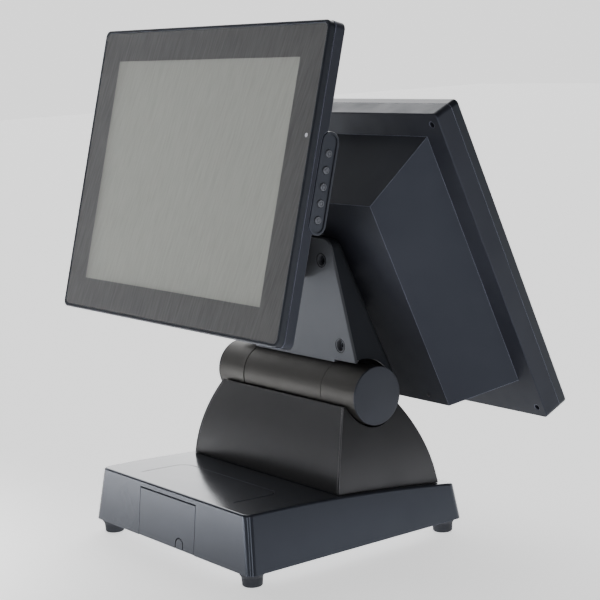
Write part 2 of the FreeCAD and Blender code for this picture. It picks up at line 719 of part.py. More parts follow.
def make_neck_frame():
    y0 = PLATE_FRONT + PLATE_THICK + 5.2
    flange = neck_face(8.0, 186.0, y0, y0 + 3.0, 6.0)
    pin_y, pin_z = rear_point(*REAR_HINGE)
    ribs = []
    for x0, x1 in (RIB_X, (-RIB_X[1], -RIB_X[0])):
        path = [(y0 + 3, 176), (neck_rear(176) - 6, 176), (neck_rear(298) - 6, 298), (y0 + 3, 298)]
        rib = side_prism(path, x0, x1)
        lug = box(x0, x1, 0, pin_y, pin_z - REAR_KNUCKLE_R, pin_z + REAR_KNUCKLE_R)
        ribs.append(join([rib, lug, rod_x(x0, x1, pin_y, pin_z, REAR_KNUCKLE_R)]))
    tie = box(-RIB_X[0], RIB_X[0], y0 + 3, neck_rear(225) - 6, 222, 228)
    frame = join([flange, tie] + ribs)
    frame = frame.cut(cradle(BARREL_R + 0.15))
    frame = frame.cut(rod_x(-60, 60, pin_y, pin_z, REAR_PIN_R))
    for x, z in plate_hole_places() + arm_bolt_places():
        frame = frame.cut(rod_y(-20, 0, x, z, 2.15))
    return frame


ARM_Z = (266.0, 304.0)


def make_display_arm():
    """Cast arm from the neck plate to the operator display's hinge."""
    pin_y, pin_z = front_point(*FRONT_HINGE)
    y0 = PLATE_FRONT - 0.05
    low, high = ARM_Z
    side = [(y0, low), (y0, high), (y0 - 10, high + 3), (pin_y + 4, pin_z + 10.2), (pin_y, pin_z + 10.9),
            (pin_y - 8, pin_z), (pin_y, pin_z - 10.9), (pin_y + 6, pin_z - 12.5), (y0 - 10, low - 1)]
    plan = [(19, y0), (19, y0 - 4), (39, y0 - 22), (39, -130),
            (-39, -130), (-39, y0 - 22), (-19, y0 - 4), (-19, y0)]
    wire = Part.makePolygon([point(x, y, 200) for x, y in plan + plan[:1]])
    arm = side_prism(side, -60, 60).common(Part.Face(wire).extrude(point(0, 0, 200)))
    arm = join([arm, rod_x(-39, 39, pin_y, pin_z, 11.0)])
    pocket = box(-30, 30, y0 - 52, y0 - 26, 250, 292)
    arm = arm.cut(pocket)
    arm = arm.cut(rod_x(-60, 60, pin_y, pin_z, 5.0 + RUNNING))
    for x, z in arm_bolt_places():
        arm = arm.cut(rod_y(y0 - 60, y0 + 1, x, z, 2.2))
        arm = arm.cut(rod_y(y0 - 60, y0 - 6, x, z, 4.2))
    return arm


def make_rear_hinge_pin():
    pin_y, pin_z = rear_point(*REAR_HINGE)
    return rod_x(-RIB_X[1] - 1.5, RIB_X[1] + 1.5, pin_y, pin_z, REAR_PIN_R)


# ---------------------------------------------------------------- displays, drawn upright, then tilted
def place_front(shape):
    done = shape.copy()
    done.rotate(point(0, 0, 0), X_AXIS, -FRONT_TILT)
    done.translate(point(0, FRONT_AT[0], FRONT_AT[1]))
    return done


def place_rear(shape):
    done = shape.copy()
    done.rotate(point(0, 0, 0), Z_AXIS, 180)
    done.rotate(point(0, 0, 0), X_AXIS, REAR_TILT)
    done.translate(point(0, REAR_AT[0], REAR_AT[1]))
    return done


def soften(shape, radius, y):
    """Rounds the outer rim edge that lies in the plane Y = y."""
    def outer(edge, bound):
        return abs(bound.YMin - y) < 0.05 and bound.YLength < 0.1
    return shape.makeFillet(radius, edges_where(shape, outer))


LIGHT_AT = (180.2, 43.9)
LIGHT_R = 1.9
LIP = 3.0


def make_front_bezel():
    ring = soften(rounded_slab(FRONT_W + 1.2, FRONT_H + 1.2, 0.0, 6.4, 7.0), 1.3, 0.0)
    ring = ring.cut(rounded_slab(FRONT_W - 2 * LIP + 0.8, FRONT_H - 2 * LIP + 0.8, -1, 3.6, 5.4))
    ring = ring.cut(rounded_slab(FRONT_W - 2 * LIP - 8, FRONT_H - 2 * LIP - 8, -1, 8, 3.0))
    for x, z in front_cover_screw_places():
        reach = 5.0 if x > 0 else -5.0
        tab = box(min(x - reach, x + 1.6 * reach), max(x - reach, x + 1.6 * reach), 3.7, 6.4, z - 5, z + 5)
        ring = ring.fuse(tab).cut(rod_y(3, 7, x, z, 1.4))
    return ring


def make_front_glass():
    glass = rounded_slab(FRONT_W - 2 * LIP, FRONT_H - 2 * LIP, 0.35, 3.35, 5.0)
    return glass.cut(rod_y(-1, 5, *LIGHT_AT, LIGHT_R + 0.1))


def make_lcd(up, y):
    """LCD module: a steel tray round a recessed viewing surface."""
    tray = box(-163, 163, y, y + 9, up - 126, up + 126)
    half_w = VIEW_W / 2 - 1
    half_h = VIEW_H / 2 - 1
    tray = tray.cut(box(-half_w, half_w, y - 1, y + VIEW_RECESS, up - half_h, up + half_h))
    lamp_bar = box(-150, 150, y + 9, y + 11, up - 118, up - 106)
    return join([tray, lamp_bar])


def cover_with_pod(width, height, radius, y0, y1, pod_depth, wide, narrow):
    """Back cover: a shallow pan whose back wall rises into a tapered pod.

    wide and narrow are the pod's (half width, low edge, high edge) at its root and at its end.
    """
    wall = 2.6
    pan = soften(rounded_slab(width, height, y0, y1, radius), 1.2, y1)
    pod = frustum(y1 - 0.01, *wide, pod_depth, *narrow)
    solid = join([pan, pod])
    hollow = rounded_slab(width - 2 * wall, height - 2 * wall, y0 - 1, y1 - wall, radius - 2)
    inner_wide = (wide[0] - wall, wide[1] + wall, wide[2] - wall)
    inner_narrow = (narrow[0] - wall, narrow[1] + wall, narrow[2] - wall)
    cavity = frustum(y1 - wall - 0.01, *inner_wide, pod_depth - wall, *inner_narrow)
    return solid.cut(hollow).cut(cavity)


def strip_pill(x0, x1, half, radius):
    straight = half - radius
    body = box(x0, x1, STRIP_DEPTH - radius, STRIP_DEPTH + radius, STRIP_UP - straight, STRIP_UP + straight)
    low = rod_x(x0, x1, STRIP_DEPTH, STRIP_UP - straight, radius)
    high = rod_x(x0, x1, STRIP_DEPTH, STRIP_UP + straight, radius)
    return join([body, low, high])


def vent_slots(x0, x1, y0, y1, z0, rows, pitch):
    return [box(x0, x1, y0, y1, z0 + pitch * row, z0 + pitch * row + 3) for row in range(rows)]


def make_front_cover():
    cover = cover_with_pod(FRONT_W + 2, FRONT_H + 2, 7.0, 6.7, FRONT_RIM, FRONT_DEPTH,
                           (160, -118, 122), (105, -118, 78))
    for x in (-80, 80):
        for slot in vent_slots(x - 18, x + 18, FRONT_DEPTH - 6, FRONT_DEPTH + 2, -12, 8, 7):
            cover = cover.cut(slot)
    for x, z in front_bracket_screw_places():
        cover = cover.cut(rod_y(FRONT_DEPTH - 6, FRONT_DEPTH + 2, x, z, 2.1))
    for x, z in front_cover_screw_places():
        cover = cover.fuse(rod_y(8.0, FRONT_RIM - 1, x, z, 5.0))
        cover = cover.cut(rod_y(FRONT_RIM - 2.6, FRONT_RIM + 1, x, z, 3.0))
        cover = cover.cut(rod_y(7.0, FRONT_RIM, x, z, 1.4))
    return cover.cut(strip_pill(160, 200, STRIP_HALF + 0.25, STRIP_R + 0.25))


def front_cover_screw_places():
    return [(x, z) for x in (-178, 178) for z in (-138, 138)]


def front_bracket_screw_places():
    return [(x, z) for x in (-37.5, 37.5) for z in (-92.5, -17.5)]


def make_button_strip():
    strip = strip_pill(174.0, STRIP_FACE, STRIP_HALF, STRIP_R)
    strip = strip.makeFillet(0.7, edges_where(strip, lambda edge, bound: bound.XMin > STRIP_FACE - 0.1))
    strip = strip.cut(strip_pill(STRIP_FACE - 1.1, STRIP_FACE + 1, STRIP_HALF - 2.4, STRIP_R - 2.4))
    strip = strip.cut(strip_pill(STRIP_BACK, STRIP_FACE - 3.4, STRIP_HALF - 2.0, STRIP_R - 2.0))
    for up in button_heights():
        strip = strip.cut(rod_x(180, 200, STRIP_DEPTH, up, BUTTON_R + 0.35))
    return strip


def button_heights():
    middle = (BUTTON_COUNT - 1) / 2
    return [BUTTON_UP + BUTTON_PITCH * (middle - index) for index in range(BUTTON_COUNT)]


def make_strip_button(up):
    stem = rod_x(180.7, STRIP_FACE + 0.1, STRIP_DEPTH, up, BUTTON_R)
    stem = stem.makeFillet(0.9, edges_where(stem, lambda edge, bound: bound.XMin > STRIP_FACE - 0.2))
    flange = rod_x(184.4, 186.0, STRIP_DEPTH, up, BUTTON_R + 1.4)
    ring = rod_x(STRIP_FACE - 0.3, STRIP_FACE + 1, STRIP_DEPTH, up, 2.2)
    ring = ring.cut(rod_x(STRIP_FACE - 0.3, STRIP_FACE + 1, STRIP_DEPTH, up, 1.4))
    return join([stem, flange]).cut(ring)


def make_button_board():
    board = box(176.0, 177.6, STRIP_DEPTH - 6.5, STRIP_DEPTH + 6.5, STRIP_UP - 38, STRIP_UP + 38)
    domes = [rod_x(177.6, 179.4, STRIP_DEPTH, up, 2.4) for up in button_heights()]
    return join([board] + domes)


def make_front_bracket():
    depth, up = FRONT_HINGE
    plate = box(-58, 58, FRONT_DEPTH, FRONT_DEPTH + 2.5, -104, -6)
    ear = box(39.6, 51, FRONT_DEPTH, depth, up - 11, up + 11).fuse(rod_x(39.6, 51, depth, up, 11.0))
    bracket = join([plate] + both_sides(ear))
    bracket = bracket.cut(rod_x(-60, 60, depth, up, 5.0))
    for x, z in front_bracket_screw_places():
        bracket = bracket.cut(rod_y(FRONT_DEPTH - 6, FRONT_DEPTH + 6, x, z, 2.1))
    return bracket


def make_front_bracket_screws():
    screws = []
    for x, z in front_bracket_screw_places():
        screws.append(screw(x, FRONT_DEPTH + 2.5, z, 3.8, 2.6, 2.0, 9.0, -Y_AXIS))
    for x, z in front_cover_screw_places():
        screws.append(screw(x, FRONT_RIM - 2.6, z, 2.7, 1.4, 1.3, 11.0, -Y_AXIS))
    return group(screws)


def make_front_pin():
    depth, up = FRONT_HINGE
    pin = rod_x(-53, 53, depth, up, 5.0)
    return pin.makeChamfer(0.8, edges_where(pin, lambda edge, bound: bound.XLength < 0.1))


def make_front_mainboard():
    board = box(-85, 85, 27, 28.6, -95, 55)
    blocks = [box(-70, -40, 28.6, 34, -80, -50), box(40, 76, 28.6, 38, -85, -70),
              box(-75, -20, 28.6, 32, 15, 45)]
    posts = [box(x, x + 6, 16, 27, z, z + 6) for x in (-82, 76) for z in (-92, 46)]
    return join([board] + blocks + posts)


def make_front_heat_sink():
    sink = box(-15, 45, 28.7, 33, -40, 20)
    fins = [box(-15 + 6 * i, -13 + 6 * i, 33, 50, -40, 20) for i in range(10)]
    return join([sink, box(43, 45, 33, 50, -40, 20)] + fins)


def make_status_light():
    return rod_y(0.45, 3.3, *LIGHT_AT, LIGHT_R)


REAR_VIEW_UP = 18.0


def rear_cover_screw_places():
    return [(x, z) for x in (-179.0, 179.0) for z in (-163.5, 163.5)]


def rear_bracket_screw_places():
    return [(x, z) for x in (-37.5, 37.5) for z in (-10.0, 45.0)]


def pod_screw_places():
    return [(-93.5, -122.9), (93.5, -122.9)]


def make_rear_bezel():
    ring = soften(rounded_slab(REAR_W, REAR_H, 0.0, REAR_SEAM - 0.15, 5.0), 2.0, 0.0)
    step = rounded_slab(VIEW_W + 14, VIEW_H + 14, 1.2, 20, 3.0, REAR_VIEW_UP)
    hollow = rounded_slab(REAR_W - 6, REAR_H - 6, 4.4, 20, 3.0)
    ring = ring.cut(rounded_slab(VIEW_W, VIEW_H, -1, 20, 1.5, REAR_VIEW_UP))
    ring = ring.cut(step).cut(hollow)
    for x, z in rear_cover_screw_places():
        ring = ring.fuse(rod_y(4.0, REAR_SEAM + 1.7, x, z, 4.5))
        ring = ring.cut(rod_y(5.0, REAR_SEAM + 3, x, z, 1.6))
    return ring


def make_rear_glass():
    return rounded_slab(VIEW_W + 13, VIEW_H + 13, 1.3, 3.1, 2.6, REAR_VIEW_UP)


def make_rear_cover():
    cover = cover_with_pod(REAR_W, REAR_H, 5.0, REAR_SEAM + 0.15, REAR_RIM, REAR_DEPTH,
                           (166.2, -132.2, 150.6), (120.1, -132.0, 104.9))
    for x, z in rear_cover_screw_places():
        cover = cover.fuse(rod_y(REAR_SEAM + 2, REAR_RIM - 1, x, z, 5.0))
        cover = cover.cut(rod_y(REAR_RIM - 6, REAR_RIM + 1, x, z, 3.1))
        cover = cover.cut(rod_y(REAR_SEAM, REAR_RIM, x, z, 1.6))
    for x, z in rear_bracket_screw_places():
        cover = cover.cut(rod_y(REAR_DEPTH - 6, REAR_DEPTH + 2, x, z, 2.1))
    for x, z in pod_screw_places():
        cover = cover.cut(rod_y(REAR_DEPTH - 3, REAR_DEPTH + 1, x, z, 1.05))
    for slot in vent_slots(-30, 30, REAR_DEPTH - 6, REAR_DEPTH + 2, -104, 6, 8):
        cover = cover.cut(slot)
    return cover.removeSplitter()


def make_rear_screws():
    screws = []
    for x, z in rear_cover_screw_places():
        screws.append(screw(x, REAR_RIM - 6, z, 2.9, 2.0, 1.5, 20.0, -Y_AXIS))
    for x, z in rear_bracket_screw_places():
        screws.append(screw(x, REAR_DEPTH + 2.5, z, 3.6, 1.4, 2.0, 8.0, -Y_AXIS))
    for x, z in pod_screw_places():
        screws.append(screw(x, REAR_DEPTH, z, 2.0, 0.6, 1.0, 2.2, -Y_AXIS))
    return group(screws)


def make_rear_bracket():
    depth, up = REAR_HINGE
    plate = box(-44, 44, REAR_DEPTH, REAR_DEPTH + 2.5, -22, 52)
    web = box(-40, 40, REAR_DEPTH, depth, up - 6, up + 6)
    knuckle = rod_x(-41.4, 41.4, depth, up, REAR_KNUCKLE_R)
    bracket = join([plate, web, knuckle]).cut(rod_x(-60, 60, depth, up, REAR_PIN_R + RUNNING))
    for x, z in rear_bracket_screw_places():
        bracket = bracket.cut(rod_y(REAR_DEPTH - 6, REAR_DEPTH + 6, x, z, 2.1))
    return bracket


def make_rear_board():
    board = box(-70, 70, 30, 31.6, -60, 20)
    blocks = [box(-55, -30, 31.6, 36, -50, -25), box(20, 60, 31.6, 40, -52, -40)]
    posts = [box(x, x + 6, 16.5, 30, z, z + 6) for x in (-68, 62) for z in (-58, 12)]
    return join([board] + blocks + posts)


# ---------------------------------------------------------------- write every sub-part
def main():
    os.makedirs("parts", exist_ok=True)

    export("base_housing", make_base_housing())
    export("base_bottom_plate", make_bottom_plate())
    export("rubber_feet", make_rubber_feet())
    export("base_screws", make_base_screws())
    export("access_door", make_access_door())
    export("door_hinge_pins", make_door_pins())
    export("port_bay", make_port_bay())
    export("bay_port_board", make_bay_port_board())
    export("power_button", make_power_button())
    export("rear_port_panel", make_rear_panel())
    export("rear_sockets", make_rear_sockets())
    export("power_inlet", make_power_inlet())
    export("io_board", make_io_board())
    export("power_supply", make_power_supply())
    export("storage_drive", make_storage_drive())
    export("speaker", make_speaker())

    front_panel, rear_panel, left_cover, right_cover = make_pedestal_panels()
    export("pedestal_front_panel", largest_solid(front_panel))
    export("pedestal_rear_panel", largest_solid(rear_panel))
    export("pedestal_cover_left", largest_solid(left_cover))
    export("pedestal_cover_right", largest_solid(right_cover))
    export("hinge_base_plate", make_hinge_plate())
    export("hinge_bracket_left", make_hinge_bracket(-1))
    export("hinge_bracket_right", make_hinge_bracket(1))
    export("bracket_bolts", make_bracket_bolts())
    export("barrel_end_caps", make_end_caps())
    export("hinge_shaft", make_hinge_shaft())
    export("shaft_collars", make_shaft_collars())
    export("friction_washers", make_friction_washers())

    export("neck_barrel", make_neck_barrel())
    export("neck_bushes", make_neck_bushes())
    export("neck_frame", make_neck_frame())
    export("neck_front_plate", make_neck_front_plate())
    export("neck_cover", make_neck_cover())
    export("neck_screws", make_neck_screws())
    export("display_arm", make_display_arm())
    export("rear_hinge_pin", make_rear_hinge_pin())

    export("front_bezel", place_front(make_front_bezel()))
    export("front_touch_glass", place_front(make_front_glass()))
    export("front_lcd_panel", place_front(make_lcd(0.0, VIEW_DEPTH)))
    export("front_back_cover", place_front(make_front_cover()))
    export("front_mount_bracket", place_front(make_front_bracket()))
    export("front_display_screws", place_front(make_front_bracket_screws()))
    export("front_hinge_pin", place_front(make_front_pin()))
    export("front_mainboard", place_front(make_front_mainboard()))
    export("front_heat_sink", place_front(make_front_heat_sink()))
    export("status_light", place_front(make_status_light()))
    export("button_strip", place_front(make_button_strip()))
    export("button_board", place_front(make_button_board()))
    for index, up in enumerate(button_heights()):
        export("strip_button_" + str(index + 1), place_front(make_strip_button(up)))

    export("rear_bezel", place_rear(make_rear_bezel()))
    export("rear_glass", place_rear(make_rear_glass()))
    export("rear_lcd_panel", place_rear(make_lcd(REAR_VIEW_UP, VIEW_DEPTH + 0.4)))
    export("rear_back_cover", place_rear(make_rear_cover()))
    export("rear_mount_bracket", place_rear(make_rear_bracket()))
    export("rear_display_screws", place_rear(make_rear_screws()))
    export("rear_driver_board", place_rear(make_rear_board()))


main()
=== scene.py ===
import json
import math

import bpy
from mathutils import Matrix, Vector

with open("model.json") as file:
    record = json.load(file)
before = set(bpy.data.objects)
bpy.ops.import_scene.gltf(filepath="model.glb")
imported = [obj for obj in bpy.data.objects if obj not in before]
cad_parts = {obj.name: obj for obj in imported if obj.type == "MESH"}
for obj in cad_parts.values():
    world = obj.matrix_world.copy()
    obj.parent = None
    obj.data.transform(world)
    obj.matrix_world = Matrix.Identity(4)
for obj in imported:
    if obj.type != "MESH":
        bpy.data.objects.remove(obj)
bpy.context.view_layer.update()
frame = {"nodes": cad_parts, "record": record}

# Point-of-sale terminal with an operator display and a customer display. Metres.
# +X is the operator's right, +Y runs from the operator to the customer, +Z is up.
MM = 0.001

# Each display's own axes: the middle of its front face, and its tilt and turn in degrees.
# opening_up is how far the middle of its viewing opening lies above the middle of the face.
FRONT_DISPLAY = {"at": (0.0, -0.1445, 0.3819), "tilt": -14.8, "turn": 0, "opening_up": 0.0}
REAR_DISPLAY = {"at": (0.0, 0.1162, 0.2866), "tilt": -24.4, "turn": 180, "opening_up": 18.0 * MM}
# VIEW_W and VIEW_H are the size of that opening. The two depths, in from the front face, are just
# short of the screen at the bottom of its tray, and just short of the back of the operator glass.
# SCREEN_MARGIN is how far inside the opening's edges the grey of the screen starts.
VIEW_W, VIEW_H = 306.2 * MM, 229.7 * MM
SCREEN_DEPTH = 8.8 * MM
SCREEN_MARGIN = (3.4 * MM, 1.8 * MM)
GLASS_BACK = 3.2 * MM

# The base's front face leans back by 6.3 mm in 56.5 mm of height, starting at its lower edge.
# So y = BASE_FACE_Y + BASE_FACE_SLOPE * z on it. The opening for the door is in this face.
BASE_FACE_FOOT_Y, BASE_FACE_FOOT_Z = -188.9 * MM, 14.0 * MM
BASE_FACE_SLOPE = 6.3 / 56.5
BASE_FACE_Y = BASE_FACE_FOOT_Y - BASE_FACE_SLOPE * BASE_FACE_FOOT_Z
BASE_FACE_SKIN = 0.15 * MM
DOOR_MIDDLE, DOOR_HALF = -3.8 * MM, 50.4 * MM
DOOR_HEAD, DOOR_INNER_Y = 65.0 * MM, -176.0 * MM

# Streaks on glass and screens: their lean from upright, how drawn out they are, and their number per metre.
STREAK_LEAN = math.radians(14)
STREAK_LENGTH = 13.0
GLASS_STREAKS, FRONT_SCREEN_STREAKS, REAR_SCREEN_STREAKS = 420.0, 700.0, 180.0

# Painted shade takes grooves and inner corners nearly black; outer edges go paler, partly from rubbing and
# partly as a painted highlight. Each range holds the values over which an effect comes in.
CREVICE_SAMPLES, EDGE_SAMPLES = 8, 6
CREVICE_REACH = 3.0 * MM
CREVICE_SHADE_RANGE = (0.35, 0.80)
# Colour and roughness of the painted shade.
CREVICE_SHADE_COLOUR = (0.002, 0.002, 0.002, 1)
CREVICE_ROUGHNESS = 0.9
WEAR_AND_HIGHLIGHT_RANGE = (0.90, 0.998)
TRACK_RANGE = (0.47, 0.53)

# How many of each mark there are in a metre, roughly.
TINT_CLOUDS, GLOSS_CLOUDS, RUBBED_AND_HIGHLIT_PATCHES = 9.0, 38.0, 55.0
SCRATCHES, STAINS, SMEARS, TRACKS = 900.0, 30.0, 26.0, 240.0
SCRATCH_DEPTH, STREAK_DEPTH = 0.01 * MM, 0.0006 * MM
METAL_EDGE, GLASS_EDGE = 0.3 * MM, 0.4 * MM

# How see-through the operator glass is in its window, and the colours of both glasses and the boards.
SEE_THROUGH = (0.44, 0.50)
BORDER_DARK, BORDER_PALE = (0.054, 0.054, 0.056), (0.093, 0.093, 0.095)
FILM_DARK, FILM_PALE = (0.355, 0.360, 0.338), (0.475, 0.480, 0.454)
TRAY = (0.27, 0.25, 0.28)
CUSTOMER_GLASS_ALPHA = 0.12
CUSTOMER_GLASS_DARK, CUSTOMER_GLASS_PALE = (0.40, 0.42, 0.39), (0.44, 0.46, 0.43)
BOARD_GROUND, BOARD_TRACK = (0.012, 0.09, 0.035), (0.03, 0.19, 0.07)

# The camera was solved from the photograph. Its angles are in degrees.
CAMERA_AT = (1.34616, -1.05405, 0.51601)
CAMERA_AZIMUTH, CAMERA_ELEVATION, CAMERA_ROLL = 53.88, 10.24, -2.71
LENS_MM, SENSOR_MM = 99.28, 36.0
LENS_SHIFT = (0.0801, 0.0537)

# The room is ROOM_BRIGHT towards BRIGHT_SIDE and ROOM_DIM elsewhere. The camera sees BACKDROP instead.
FLOOR_HALF = 9.0
FLOOR_PALE, FLOOR_ROUGHNESS, FLOOR_SPECULAR = 0.90, 0.9, 0.1
FLOOR_GLOW = 1.0
WHITE = (1.0, 1.0, 1.0, 1)
ROOM_DIM, ROOM_BRIGHT, BACKDROP = 0.09, 4.0, 1.55
BRIGHT_SIDE = (-0.78, 0.60, 0.17)
BRIGHT_RANGE = (0.45, 0.95)


# ---------------------------------------------------------------- camera
def make_camera():
    azimuth, elevation = math.radians(CAMERA_AZIMUTH), math.radians(CAMERA_ELEVATION)
    roll = math.radians(CAMERA_ROLL)
    back = Vector((math.sin(azimuth) * math.cos(elevation), -math.cos(azimuth) * math.cos(elevation),
                   math.sin(elevation)))
    right = Vector((math.cos(azimuth), math.sin(azimuth), 0))
    up = Vector((-math.sin(azimuth) * math.sin(elevation), math.cos(azimuth) * math.sin(elevation),
                 math.cos(elevation)))
    turned_right = math.cos(roll) * right + math.sin(roll) * up
    turned_up = -math.sin(roll) * right + math.cos(roll) * up
    data = bpy.data.cameras.new("camera")
    data.lens, data.sensor_width = LENS_MM, SENSOR_MM
    data.shift_x, data.shift_y = LENS_SHIFT
    camera = bpy.data.objects.new("camera", data)
    bpy.context.scene.collection.objects.link(camera)
    axes = Matrix((turned_right, turned_up, back)).transposed().to_4x4()
    camera.matrix_world = Matrix.Translation(CAMERA_AT) @ axes
    bpy.context.scene.camera = camera


# ---------------------------------------------------------------- floor and light
def make_light(name, place, target, size, watts, spread=180):
    """Area light of size (width, height) at place, facing target; spread is in degrees."""
    data = bpy.data.lights.new(name, "AREA")
    data.shape = "RECTANGLE"
    data.size, data.size_y = size
    data.energy, data.spread = watts, math.radians(spread)
    light = bpy.data.objects.new(name, data)
    bpy.context.scene.collection.objects.link(light)
    light.location = place
    light.rotation_mode = "QUATERNION"
    light.rotation_quaternion = (Vector(target) - Vector(place)).to_track_quat("-Z", "Y")


def make_floor():
    """Pale floor with a glow of its own, as on a light table."""
    mesh = bpy.data.meshes.new("floor")
    half = FLOOR_HALF
    mesh.from_pydata([(-half, -half, 0), (half, -half, 0), (half, half, 0), (-half, half, 0)], [],
                     [(0, 1, 2, 3)])
    floor = bpy.data.objects.new("floor", mesh)
    bpy.context.scene.collection.objects.link(floor)
    material = bpy.data.materials.new("floor_paper")
    material.use_nodes = True
    shader = material.node_tree.nodes["Principled BSDF"]
    shader.inputs["Base Color"].default_value = (FLOOR_PALE, FLOOR_PALE, FLOOR_PALE, 1)
    shader.inputs["Roughness"].default_value = FLOOR_ROUGHNESS
    shader.inputs["Specular IOR Level"].default_value = FLOOR_SPECULAR
    shader.inputs["Emission Color"].default_value = WHITE
    shader.inputs["Emission Strength"].default_value = FLOOR_GLOW
    mesh.materials.append(material)


def make_world():
    """Pale studio: bright behind and to the left of the object, dimmer above and in front of it."""
    world = bpy.data.worlds.new("studio")
    bpy.context.scene.world = world
    world.use_nodes = True
    tree = world.node_tree
    place = tree.nodes.new("ShaderNodeTexCoord")
    facing = tree.nodes.new("ShaderNodeVectorMath")
    facing.operation = "DOT_PRODUCT"
    facing.inputs[1].default_value = BRIGHT_SIDE
    tree.links.new(place.outputs["Generated"], facing.inputs[0])
    ramp = tree.nodes.new("ShaderNodeMapRange")
    ramp.interpolation_type = "SMOOTHSTEP"
    numbers = (*BRIGHT_RANGE, ROOM_DIM, ROOM_BRIGHT)
    for key, number in zip(("From Min", "From Max", "To Min", "To Max"), numbers):
        ramp.inputs[key].default_value = number
    tree.links.new(facing.outputs["Value"], ramp.inputs["Value"])
    path = tree.nodes.new("ShaderNodeLightPath")
    seen = tree.nodes.new("ShaderNodeMix")
    tree.links.new(path.outputs["Is Camera Ray"], seen.inputs[0])
    tree.links.new(ramp.outputs["Result"], seen.inputs[2])
    seen.inputs[3].default_value = BACKDROP
    background = tree.nodes["Background"]
    background.inputs["Color"].default_value = WHITE
    tree.links.new(seen.outputs[0], background.inputs["Strength"])


# ---------------------------------------------------------------- materials
class Graph:
    """A material's node tree with short ways to add and join nodes."""

    def __init__(self, name):
        self.name = name
        self.material = bpy.data.materials.new(name)
        self.material.use_nodes = True
        self.tree = self.material.node_tree
        self.shader = self.tree.nodes["Principled BSDF"]
        self.place = self.add("ShaderNodeTexCoord").outputs["Object"]

    def add(self, kind, **settings):
        node = self.tree.nodes.new(kind)
        for key, value in settings.items():
            setattr(node, key, value)
        return node

    def join(self, source, target):
        self.tree.links.new(source, target)

    def feed(self, socket, value):
        """Joins value to the socket if it is a socket too, or else sets it as a constant."""
        if isinstance(value, bpy.types.NodeSocket):
            self.join(value, socket)
        else:
            socket.default_value = value

    def surface(self, values):
        """Feeds the shader's sockets, given by name."""
        for name, value in values.items():
            self.feed(self.shader.inputs[name], value)

    def maths(self, operation, first, second=0.0, third=0.0):
        node = self.add("ShaderNodeMath", operation=operation)
        for socket, value in zip(node.inputs, (first, second, third)):
            self.feed(socket, value)
        return node.outputs[0]

    def noise(self, scale, detail=2.0, roughness=0.5, place=None):
        node = self.add("ShaderNodeTexNoise")
        self.join(place or self.place, node.inputs["Vector"])
        node.inputs["Scale"].default_value = scale
        node.inputs["Detail"].default_value = detail
        node.inputs["Roughness"].default_value = roughness
        return node.outputs["Fac"]

    def spread(self, value, low, high, start=0.3, end=0.7):
        """Maps value from start..end to low..high."""
        node = self.add("ShaderNodeMapRange")
        self.feed(node.inputs["Value"], value)
        for key, number in (("From Min", start), ("From Max", end), ("To Min", low), ("To Max", high)):
            node.inputs[key].default_value = number
        return node.outputs["Result"]

    def mix(self, share, first, second):
        """Colour that goes from first to second as share goes from 0 to 1."""
        node = self.add("ShaderNodeMix", data_type="RGBA")
        self.feed(node.inputs[0], share)
        self.feed(node.inputs[6], first)
        self.feed(node.inputs[7], second)
        return node.outputs[2]

    def blend(self, share, first, second):
        """Number that goes from first to second as share goes from 0 to 1."""
        node = self.add("ShaderNodeMix")
        self.feed(node.inputs[0], share)
        self.feed(node.inputs[2], first)
        self.feed(node.inputs[3], second)
        return node.outputs[0]

    def split(self, place):
        """The X, Y and Z of a place."""
        node = self.add("ShaderNodeSeparateXYZ")
        self.join(place, node.inputs["Vector"])
        return node.outputs["X"], node.outputs["Y"], node.outputs["Z"]

    def display_axes(self, display):
        """Object coordinates turned into a display's own: across, inward depth, and up."""
        node = self.add("ShaderNodeMapping", vector_type="TEXTURE")
        self.join(self.place, node.inputs["Vector"])
        tilt, turn = math.radians(display["tilt"]), math.radians(display["turn"])
        node.inputs["Location"].default_value = display["at"]
        node.inputs["Rotation"].default_value = (tilt, 0, turn)
        return node.outputs["Vector"]

    def bump(self, height, depth, normal):
        node = self.add("ShaderNodeBump")
        self.join(height, node.inputs["Height"])
        node.inputs["Strength"].default_value = 1.0
        node.inputs["Distance"].default_value = depth
        self.join(normal, node.inputs["Normal"])
        return node.outputs["Normal"]

    def soft_edges(self, radius):
        node = self.add("ShaderNodeBevel", samples=EDGE_SAMPLES)
        node.inputs["Radius"].default_value = radius
        return node.outputs["Normal"]

    def edge_wear_and_highlight(self, rounded):
        """Rises to 1 on the outer corners of the shape, where edges go paler: partly from rubbing, partly as a
        painted highlight.
        """
        flat = self.add("ShaderNodeNewGeometry").outputs["Normal"]
        node = self.add("ShaderNodeVectorMath", operation="DOT_PRODUCT")
        self.join(rounded, node.inputs[0])
        self.join(flat, node.inputs[1])
        return self.spread(node.outputs["Value"], 1.0, 0.0, *WEAR_AND_HIGHLIGHT_RANGE)

    def crevice_shade(self):
        """Rises to 1 in the narrow grooves, holes and inner corners of the shape, where shade falls: the mask
        of the painted shade.
        """
        node = self.add("ShaderNodeAmbientOcclusion", samples=CREVICE_SAMPLES, only_local=True)
        node.inputs["Distance"].default_value = CREVICE_REACH
        return self.spread(node.outputs["AO"], 1.0, 0.0, *CREVICE_SHADE_RANGE)

    def paint_shade(self, share):
        """Paints shade: takes the surface to a matt near-black wherever share is 1."""
        colour = self.shader.inputs["Base Color"].links[0].from_socket
        roughness = self.shader.inputs["Roughness"].links[0].from_socket
        self.surface({"Base Color": self.mix(share, colour, CREVICE_SHADE_COLOUR),
                      "Roughness": self.blend(share, roughness, CREVICE_ROUGHNESS)})


def shade(colour, factor=1.0):
    return (*(part * factor for part in colour), 1.0)


